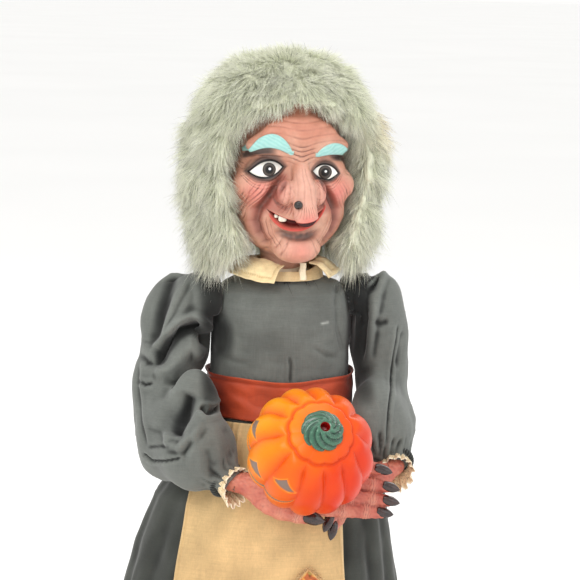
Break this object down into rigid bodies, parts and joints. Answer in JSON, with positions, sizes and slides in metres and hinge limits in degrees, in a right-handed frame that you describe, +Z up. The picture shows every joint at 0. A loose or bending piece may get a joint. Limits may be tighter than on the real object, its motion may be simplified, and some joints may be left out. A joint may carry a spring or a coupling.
{
  "type": "animated display figure",
  "caption": "Motorised doll figure on a round base: it turns its fur-wigged head and lifts a lit jack-o'-lantern held in its hands.",
  "frame": {"origin": "centre of the base's flat underside, on the surface it stands on", "axes": "+Z up through the figure; the figure faces -Y; +X is towards its left hand"},
  "size_m": [0.296, 0.3062, 0.61],
  "materials": {
    "black_plastic": "moulded, satin",
    "cream_plastic": "moulded, satin",
    "gear_plastic": "moulded, natural",
    "grommet_rubber": "moulded",
    "steel": "zinc plated",
    "vinyl_skin": "soft vinyl, hand painted with a dark wash in the creases",
    "fur": "long-pile synthetic fur",
    "dress_cloth": "woven cotton, slight sheen",
    "orange_cloth": "woven cotton",
    "apron_cloth": "woven linen",
    "patch_cloth": "printed cotton with a frayed edge",
    "cream_cloth": "felt-like woven cotton, top-stitched",
    "lace": "gathered lace",
    "pumpkin_plastic": "blow moulded, satin gloss",
    "stem_plastic": "gloss",
    "bulb_glass": "clear"
  },
  "bodies": {
    "stand": {"base_shell": "black_plastic", "base_plate": "black_plastic", "base_screw_1": "steel", "base_screw_2": "steel", "base_screw_3": "steel", "base_screw_4": "steel", "cord_grommet": "grommet_rubber", "switch_body": "black_plastic", "leg_left": "cream_plastic", "leg_right": "cream_plastic", "shoe_left": "black_plastic", "shoe_right": "black_plastic", "hip_block": "cream_plastic", "torso_front": "cream_plastic", "torso_back": "cream_plastic", "torso_screw_1": "steel", "torso_screw_2": "steel", "torso_screw_3": "steel", "torso_screw_4": "steel", "neck_bush": "gear_plastic", "shoulder_bush_left": "gear_plastic", "shoulder_bush_right": "gear_plastic", "chassis": "steel", "motor": "steel", "idler_pin": "steel", "bodice": "dress_cloth", "skirt": "dress_cloth", "waistband": "orange_cloth", "apron": "apron_cloth", "apron_patch": "patch_cloth", "collar": "cream_cloth"},
    "switch": {"switch_slider": "cream_plastic"},
    "crank": {"crank_gear": "gear_plastic", "crank_shaft": "steel", "arm_crank": "gear_plastic"},
    "idler": {"idler_gear": "gear_plastic"},
    "pinion": {"motor_pinion": "gear_plastic"},
    "head": {"head_shaft": "cream_plastic", "head_fork": "steel", "head_hub": "cream_plastic", "head_shell": "vinyl_skin", "wig": "fur"},
    "arms": {"shoulder_axle": "steel", "arm_lever": "gear_plastic", "arm_left": "cream_plastic", "arm_right": "cream_plastic", "hand_left": "vinyl_skin", "hand_right": "vinyl_skin", "sleeve_left": "dress_cloth", "sleeve_right": "dress_cloth", "cuff_left": "lace", "cuff_right": "lace", "pumpkin_shell": "pumpkin_plastic", "pumpkin_stem": "stem_plastic", "pumpkin_lampholder": "black_plastic", "pumpkin_bulb": "bulb_glass"},
    "arm_link": {"arm_link": "steel"}
  },
  "joints": [
    {"name": "switch_slide", "type": "slide", "parent": "stand", "child": "switch", "axis": [1, 0, 0], "range_m": [0, 0.004]},
    {"name": "crank_spin", "type": "hinge", "parent": "stand", "child": "crank", "pos_m": [0, 0, 0.35], "axis": [0, 1, 0], "continuous": true},
    {"name": "idler_spin", "type": "hinge", "parent": "stand", "child": "idler", "pos_m": [-0.01429, 0, 0.33103], "axis": [0, 1, 0], "continuous": true},
    {"name": "pinion_spin", "type": "hinge", "parent": "stand", "child": "pinion", "pos_m": [0.00268, 0, 0.31824], "axis": [0, 1, 0], "continuous": true},
    {"name": "head_turn", "type": "hinge", "parent": "stand", "child": "head", "pos_m": [0, 0, 0.425], "axis": [0, 0, 1], "range_deg": [-36, 22]},
    {"name": "arms_lift", "type": "hinge", "parent": "stand", "child": "arms", "pos_m": [0, 0, 0.392], "axis": [-1, 0, 0], "range_deg": [0, 18]},
    {"name": "link_pivot", "type": "hinge", "parent": "arms", "child": "arm_link", "pos_m": [0, 0.02568, 0.39607], "axis": [-1, 0, 0], "range_deg": [-18, 0]}
  ],
  "couplings": [
    {"joint": "idler_spin", "follows": "crank_spin", "ratio": -2.8},
    {"joint": "pinion_spin", "follows": "crank_spin", "ratio": 6.72},
    {"joint": "link_pivot", "follows": "arms_lift", "ratio": -1}
  ]
}
